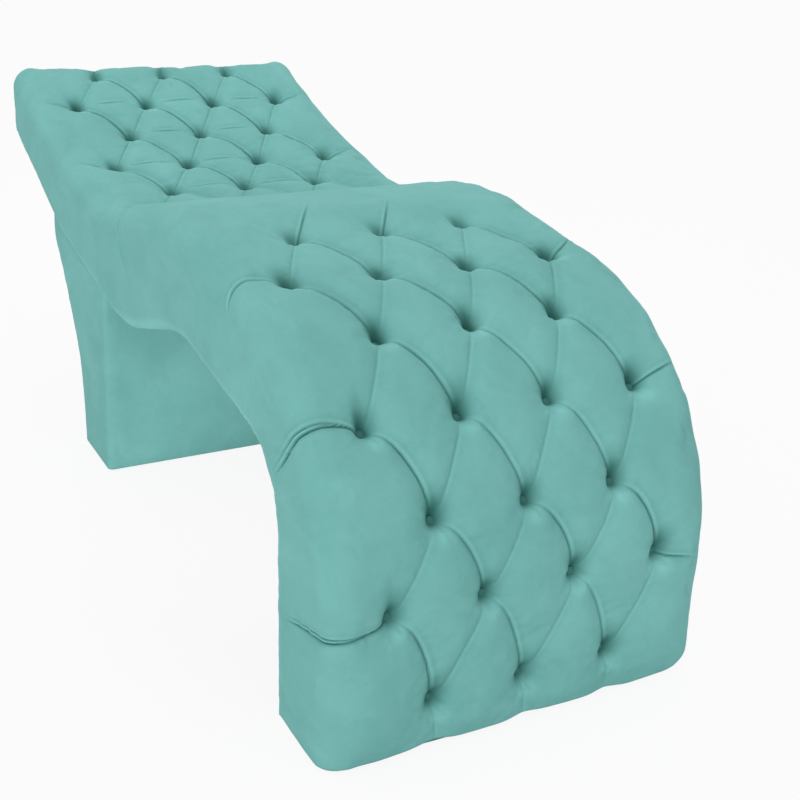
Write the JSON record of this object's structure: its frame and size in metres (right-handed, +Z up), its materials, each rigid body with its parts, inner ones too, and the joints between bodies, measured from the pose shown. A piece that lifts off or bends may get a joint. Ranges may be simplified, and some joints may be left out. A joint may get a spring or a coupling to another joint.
{
  "type": "beauty treatment bed",
  "caption": "Arched, velvet-covered treatment bed with diamond tufting on the leg arch and the raised back, on a flared rear base.",
  "frame": {"origin": "centre of the footprint on the floor, midway between foot front and head end", "axes": "+Z up, +Y towards the head end, +X across the bed"},
  "size_m": [0.7, 1.76, 0.7442],
  "materials": {
    "velvet": "matte",
    "foam": "matte",
    "wadding": "matte",
    "lining": "matte",
    "twine": "matte",
    "washer_plastic": "satin",
    "plywood": "matte",
    "pine": "matte",
    "steel": "satin",
    "glide_plastic": "matte"
  },
  "bodies": {
    "root": {"velvet_cover": "velvet", "leg_foam": "foam", "seat_foam": "foam", "back_foam": "foam", "flank_foam_left": "foam", "flank_foam_right": "foam", "head_end_foam": "foam", "tuft_buttons": "velvet", "tuft_twines": "twine", "twine_washers": "washer_plastic", "leg_deck": "plywood", "seat_deck": "plywood", "back_deck": "plywood", "side_panel_left": "plywood", "side_panel_right": "plywood", "foot_rail": "pine", "shin_rail": "pine", "knee_rail": "pine", "thigh_rail": "pine", "crest_rail": "pine", "seat_rail": "pine", "crease_rail": "pine", "back_rail": "pine", "head_rail": "pine", "head_end_board": "pine", "mount_rail_front": "pine", "mount_rail_rear": "pine", "underside_lining": "lining", "base_side_left": "plywood", "base_side_right": "plywood", "base_front_panel": "plywood", "base_rear_panel": "plywood", "base_post_left": "pine", "base_post_right": "pine", "base_sill_front": "pine", "base_sill_rear": "pine", "base_batten_front": "pine", "base_batten_rear": "pine", "base_wadding": "wadding", "base_cover": "velvet", "base_bolts": "steel", "base_bolt_washers": "steel", "base_nuts": "steel", "foot_glides": "glide_plastic", "base_glides": "glide_plastic"}
  },
  "joints": []
}
